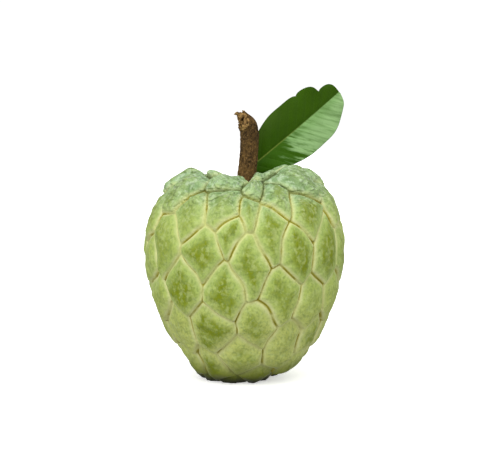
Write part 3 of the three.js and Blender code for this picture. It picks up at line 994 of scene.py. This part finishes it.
def leaf_material(settings):
    """The leaf: deep green with a thin pale midrib and faint side veins. The lower half is painted
    lighter, with a painted sheen that is paler towards its tip and streaked along its veins; the
    upper half has a painted grey sheen near its foot; and both halves are glossy."""
    material, graph, shader = new_material("leaf_blade", IOR=1.4, Specular_IOR_Level=0.1)
    coordinates = graph.add("ShaderNodeTexCoord").outputs
    place = coordinates["Object"]
    side, vein = graph.attribute("side"), graph.attribute("vein")
    midrib, back = graph.attribute("midrib"), graph.attribute("back")
    along = graph.add("ShaderNodeSeparateXYZ", {0: coordinates["UV"]}).outputs["X"]
    speckles = node_group("speckles", speckle_group)
    grain = node_group("grain", grain_group)

    # Two directions of the lower half, in lengths of the UV map: across its side veins and
    # along them. Noise that is drawn out along the veins makes streaks.
    directions = [
        graph.add("ShaderNodeVectorMath", {0: coordinates["UV"], 1: d}, operation="DOT_PRODUCT")
        for d in ((44.8, 18.0, 0.0), (33.6, -24.0, 0.0))
    ]
    across, ahead = (node.outputs["Value"] for node in directions)
    drawn = graph.add(
        "ShaderNodeCombineXYZ",
        {"X": graph.maths("MULTIPLY", across, 0.55), "Y": graph.maths("MULTIPLY", ahead, 0.07)},
    ).outputs[0]
    streaks = graph.noise(drawn, 1.0, 3.0, 0.6)
    clouds = graph.noise(place, 90.0, 2.0)

    lower = graph.ramp(side, 0.02, -0.03)
    body = graph.blend(clouds, (*settings.deep_green, 1), colour("#3c6004"))
    # A greyish patch on the upper half near its foot: a painted sheen.
    grey_sheen = graph.maths("MULTIPLY", graph.ramp(side, 0.3, 0.9), graph.ramp(along, 0.7, 0.4))
    body = graph.blend(graph.maths("MULTIPLY", grey_sheen, 0.25), body, colour("#4d6426"))
    # The lower half's base is painted a little lighter: painted light on the half that faces the
    # lamps.
    base = graph.blend(graph.maths("MULTIPLY", lower, 0.8), body, colour("#38610a"))
    # The painted sheen, a highlight laid into the lower half's colour, starts further from the foot
    # in some streaks than in others.
    start = graph.maths("MULTIPLY", streaks, 0.75)
    sheen = graph.ramp(graph.maths("SUBTRACT", along, start), -0.02, 0.18)
    sheen = graph.maths("MULTIPLY", sheen, graph.ramp(streaks, 0.68, 0.4, 0.45, 1.0))
    sheen = graph.maths("MULTIPLY", sheen, lower)
    body = graph.blend(graph.maths("MULTIPLY", sheen, 0.95), base, (*settings.sheen_green, 1))
    sheen_highlight = graph.maths("MULTIPLY", sheen, graph.ramp(side, -0.1, -0.5, 0.0, 0.45))
    body = graph.blend(sheen_highlight, body, colour("#a3c58b"))
    body = place_group(
        graph,
        speckles,
        {
            "Vector": place,
            "Under": body,
            "Over": colour("#2b4a06"),
            "Scale": 1100.0,
            "Level": 0.55,
            "Amount": 0.12,
            "Stretch": 1.0,
        },
    )["Color"]
    faint = graph.maths("MULTIPLY", vein, graph.ramp(lower, 0.0, 1.0, 0.05, 0.12))
    body = graph.blend(faint, body, colour("#54752a"))
    body = graph.blend(graph.maths("MULTIPLY", back, 0.55), body, colour("#8fa25e"))
    pale = graph.ramp(along, 0.2, 0.75, 0.65, 0.1)
    body = graph.blend(graph.maths("MULTIPLY", midrib, pale), body, colour("#8b9c45"))
    graph.tree.links.new(body, shader.inputs["Base Color"])
    rough = graph.ramp(streaks, 0.3, 0.7, 0.38, 0.5)
    rough = graph.maths("ADD", rough, graph.maths("MULTIPLY", back, 0.25))
    graph.tree.links.new(rough, shader.inputs["Roughness"])
    relief = place_group(
        graph, grain, {"Vector": place, "Coarse": 700.0, "Fine": 2200.0, "Fine share": 0.5}
    )["Height"]
    bump = graph.add(
        "ShaderNodeBump", {"Height": relief, "Strength": 0.25, "Distance": 0.0003}
    )
    graph.tree.links.new(bump.outputs[0], shader.inputs["Normal"])
    return material


def floor_material():
    """A plain, nearly white, dull floor with the faintest clouding."""
    material, graph, shader = new_material("pale_floor", Roughness=0.9, Emission_Strength=0.5)
    place = graph.add("ShaderNodeTexCoord").outputs["Object"]
    body = graph.blend(graph.noise(place, 3.0), colour("#fbfbfb"), colour("#ffffff"))
    graph.tree.links.new(body, shader.inputs["Base Color"])
    graph.tree.links.new(body, shader.inputs["Emission Color"])
    return material


# ---- Settings ----


def length_setting(name, description, millimetres, low=0.0, high=100.0):
    """A length that is given in millimetres here and held in metres."""
    return FloatProperty(
        name=name,
        description=description,
        default=millimetres * MM,
        min=low * MM,
        max=high * MM,
        unit="LENGTH",
        precision=5,
    )


def colour_setting(name, description, code):
    """A surface colour, given as a hex code."""
    return FloatVectorProperty(
        name=name,
        description=description,
        default=colour(code)[:3],
        subtype="COLOR",
        size=3,
        min=0,
        max=1,
    )


class FruitSettings(bpy.types.PropertyGroup):
    """The fruit's relief and colours."""

    rows: IntProperty(
        name="Rows", description="Rows of points down the skin", default=222, min=60, max=222
    )
    columns: IntProperty(
        name="Columns", description="Points round the skin", default=444, min=90, max=444
    )
    rim_height: length_setting("Rim", "Height of a carpel's rounded rim over its seam", 0.5)
    swell: length_setting("Swell", "How far a carpel's middle stands over its rim", 1.5)
    tilt: length_setting("Tilt", "How far a carpel's lower end is lifted", 0.6)
    crease_depth: length_setting("Crease", "Depth of the crease along a seam", 0.25)
    unevenness: FloatProperty(
        name="Unevenness", description="Strength of the skin's lumps", default=1, min=0, max=3
    )
    flank_green: colour_setting("Flank", "Skin of the flank's carpels", "#a9bd62")
    shoulder_green: colour_setting("Shoulder", "Skin beside the hollow", "#a3c69a")
    lower_green: colour_setting("Lower flank", "Skin of the lower carpels", "#c2ca74")
    # The foot's colour is painted shade, laid on towards where the fruit rests.
    foot_shade_green: colour_setting("Foot", "Skin near the foot", "#66700e")
    seam_brown: colour_setting("Seam", "The brown line in a seam", "#a09a1c")


class StalkSettings(bpy.types.PropertyGroup):
    """The stalk's size, relief and colour."""

    rows: IntProperty(name="Rows", description="Rows up the bark", default=230, min=40, max=400)
    columns: IntProperty(
        name="Columns", description="Points round the stalk", default=180, min=24, max=300
    )
    radius: length_setting("Radius", "Radius of the stalk", 3.85)
    bark_relief: length_setting("Bark relief", "Height of the bark's ridges and knobs", 0.2)
    bark_brown: colour_setting("Bark", "Darker brown of the bark", "#3f2e16")


class LeafSettings(bpy.types.PropertyGroup):
    """The leaf's form and colours."""

    rows: IntProperty(
        name="Rows", description="Rows along the midrib", default=420, min=60, max=500
    )
    columns: IntProperty(
        name="Columns", description="Points across one face", default=110, min=20, max=160
    )
    thickness: length_setting("Thickness", "Thickness of the blade", 0.36)
    vein_gap: length_setting("Vein gap", "Distance between side veins", 5.2)
    fold: FloatProperty(
        name="Fold",
        description="How far each half lifts to the front",
        default=math.radians(15),
        min=0,
        max=math.radians(60),
        subtype="ANGLE",
    )
    deep_green: colour_setting("Deep green", "The leaf's darker half", "#2f4f03")
    # The sheen's colour: a painted highlight on the lower half.
    sheen_green: colour_setting("Pale green", "Streaks of the lower half", "#87b06c")


class StageSettings(bpy.types.PropertyGroup):
    """The camera, the light and the floor."""

    lens: FloatProperty(
        name="Lens", description="Focal length", default=110, min=20, max=300, unit="CAMERA"
    )
    elevation: FloatProperty(
        name="Elevation",
        description="How far the camera looks down",
        default=math.radians(5),
        min=0,
        max=math.radians(80),
        subtype="ANGLE",
    )
    distance: FloatProperty(
        name="Distance",
        description="From the camera to the middle of the object",
        default=0.6397,
        min=0.1,
        max=5,
        unit="LENGTH",
    )
    top_light: FloatProperty(
        name="Top light", description="Strength of the light from above", default=0.78, min=0
    )
    left_light: FloatProperty(
        name="Left light", description="Strength of the light from the left", default=1.35, min=0
    )
    right_light: FloatProperty(
        name="Right light", description="Strength of the light on the right", default=0.6, min=0
    )
    room: FloatProperty(
        name="Room", description="Strength of the room's own light", default=0.55, min=0
    )


# ---- Operators ----


def finish_piece(piece, material, slot, *nodes):
    """Gives a piece its material and its body, and says what it replaces. The slot is not used."""
    piece.data.materials.clear()
    piece.data.materials.append(material)
    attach(piece, "root")
    if nodes:
        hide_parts(*nodes)


# What the camera looks at: the middle of the fruit with its stalk and leaf.
CAMERA_TARGET = (0.0023, 0, 0.06116)


class CUSTARDAPPLE_OT_camera(bpy.types.Operator):
    """Add the camera, in front of the fruit and a little above it"""

    bl_idname = "custardapple.camera"
    bl_label = "Camera"
    bl_options = {"REGISTER", "UNDO"}

    def execute(self, context):
        settings = context.scene.custardapple_stage
        data = bpy.data.cameras.new("camera")
        data.lens, data.sensor_width = settings.lens, 36
        data.clip_start, data.clip_end = 0.01, 20
        camera = bpy.data.objects.new("camera", data)
        context.scene.collection.objects.link(camera)
        tip = settings.elevation
        toward = Vector((0, math.cos(tip), -math.sin(tip)))
        camera.location = Vector(CAMERA_TARGET) - toward * settings.distance
        camera.rotation_euler = toward.to_track_quat("-Z", "Y").to_euler()
        context.scene.camera = camera
        return {"FINISHED"}


class CUSTARDAPPLE_OT_fruit(bpy.types.Operator):
    """Build the fruit's skin"""

    bl_idname = "custardapple.fruit"
    bl_label = "Fruit"
    bl_options = {"REGISTER", "UNDO"}

    def execute(self, context):
        settings = context.scene.custardapple_fruit
        piece = put_mesh("fruit_skin", *fruit_surface(settings))
        finish_piece(piece, skin_material(settings), "skin", "fruit")
        return {"FINISHED"}


class CUSTARDAPPLE_OT_stalk(bpy.types.Operator):
    """Build the stalk and the splinters of its torn end"""

    bl_idname = "custardapple.stalk"
    bl_label = "Stalk"
    bl_options = {"REGISTER", "UNDO"}

    def execute(self, context):
        settings = context.scene.custardapple_stalk
        material = bark_material(settings)
        bark = put_mesh("stalk_bark", *stalk_surface(settings))
        finish_piece(bark, material, "bark", "stalk")
        splinters = put_mesh("stalk_splinters", *splinter_surface())
        finish_piece(splinters, material, "bark")
        return {"FINISHED"}


class CUSTARDAPPLE_OT_leaf(bpy.types.Operator):
    """Build the leaf"""

    bl_idname = "custardapple.leaf"
    bl_label = "Leaf"
    bl_options = {"REGISTER", "UNDO"}

    def execute(self, context):
        settings = context.scene.custardapple_leaf
        piece = put_mesh("leaf_blade", *leaf_surface(settings))
        finish_piece(piece, leaf_material(settings), "leaf", "leaf")
        return {"FINISHED"}


def soft_sun(name, azimuth, elevation, softness, strength):
    """A wide, soft, even light from an azimuth and elevation, in degrees; softness is how wide
    its disc is."""
    data = bpy.data.lights.new(name, "SUN")
    data.energy, data.angle = strength, math.radians(softness)
    lamp = bpy.data.objects.new(name, data)
    bpy.context.scene.collection.objects.link(lamp)
    azimuth, elevation = math.radians(azimuth), math.radians(elevation)
    toward = Vector(
        (
            -math.cos(elevation) * math.sin(azimuth),
            math.cos(elevation) * math.cos(azimuth),
            -math.sin(elevation),
        )
    )
    lamp.rotation_euler = toward.to_track_quat("-Z", "Y").to_euler()


def light_room(scene, strength):
    """The room: grey walls, a lighter ceiling, and a white wall behind the object."""
    world = bpy.data.worlds.new("room")
    scene.world = world
    world.use_nodes = True
    graph = Graph(world.node_tree)
    graph.tree.nodes.clear()
    direction = graph.add("ShaderNodeTexCoord").outputs["Generated"]
    parts = graph.add("ShaderNodeSeparateXYZ", {0: direction}).outputs
    level = graph.ramp(parts["Z"], -0.7, 0.7, 0.85 * strength, 1.2 * strength)
    level = graph.maths("MAXIMUM", level, graph.ramp(parts["Y"], 0.8, 0.95, 0.0, 1.05))
    background = graph.add("ShaderNodeBackground", {"Color": (1, 1, 1, 1), "Strength": level})
    graph.add("ShaderNodeOutputWorld", {"Surface": background.outputs[0]})


class CUSTARDAPPLE_OT_stage(bpy.types.Operator):
    """Add the floor, the room's light and the soft lamps"""

    bl_idname = "custardapple.stage"
    bl_label = "Stage"
    bl_options = {"REGISTER", "UNDO"}

    def execute(self, context):
        settings = context.scene.custardapple_stage
        reach, squares = 3000, 8
        side = np.linspace(-reach, reach, squares + 1)
        x, y = np.meshgrid(side, side)
        points = np.stack([x.ravel(), y.ravel(), 0 * x.ravel()], -1)
        i, j = np.meshgrid(np.arange(squares), np.arange(squares), indexing="ij")
        corner = (i * (squares + 1) + j).ravel()
        above = corner + squares + 1
        faces = np.vstack(
            [
                np.stack([corner, corner + 1, above + 1], -1),
                np.stack([corner, above + 1, above], -1),
            ]
        )
        floor = put_mesh("floor", points, faces)
        floor.data.materials.append(floor_material())

        floor.visible_diffuse = floor.visible_glossy = False
        light_room(context.scene, settings.room)
        soft_sun("top_light", 10, 66, 75, settings.top_light)
        soft_sun("left_light", -35, 28, 60, settings.left_light)
        soft_sun("right_light", 60, 12, 70, settings.right_light)
        context.scene.view_settings.view_transform = "Standard"
        context.scene.view_settings.look = "None"
        return {"FINISHED"}


class CUSTARDAPPLE_PT_sidebar(bpy.types.Panel):
    """Lists the custard apple's pieces"""

    bl_idname = "CUSTARDAPPLE_PT_sidebar"
    bl_label = "Custard apple"
    bl_space_type = "VIEW_3D"
    bl_region_type = "UI"
    bl_category = "Custard apple"

    def draw(self, context):
        for name in ("camera", "fruit", "stalk", "leaf", "stage"):
            box = self.layout.box()
            box.operator(f"custardapple.{name}")
            settings = getattr(context.scene, f"custardapple_{name}", None)
            for key in settings.__annotations__ if settings else ():
                box.prop(settings, key)


SETTINGS = {
    "custardapple_fruit": FruitSettings,
    "custardapple_stalk": StalkSettings,
    "custardapple_leaf": LeafSettings,
    "custardapple_stage": StageSettings,
}
CLASSES = [
    *SETTINGS.values(),
    CUSTARDAPPLE_OT_camera,
    CUSTARDAPPLE_OT_fruit,
    CUSTARDAPPLE_OT_stalk,
    CUSTARDAPPLE_OT_leaf,
    CUSTARDAPPLE_OT_stage,
    CUSTARDAPPLE_PT_sidebar,
]


def register():
    for one in CLASSES:
        bpy.utils.register_class(one)
    for name, kind in SETTINGS.items():
        setattr(bpy.types.Scene, name, PointerProperty(type=kind))


def unregister():
    for name in SETTINGS:
        delattr(bpy.types.Scene, name)
    for one in reversed(CLASSES):
        bpy.utils.unregister_class(one)


def main():
    register()
    bpy.ops.custardapple.camera()
    bpy.ops.custardapple.fruit()
    bpy.ops.custardapple.stalk()
    bpy.ops.custardapple.leaf()
    bpy.ops.custardapple.stage()
    bpy.context.view_layer.update()


if __name__ == "__main__":
    main()
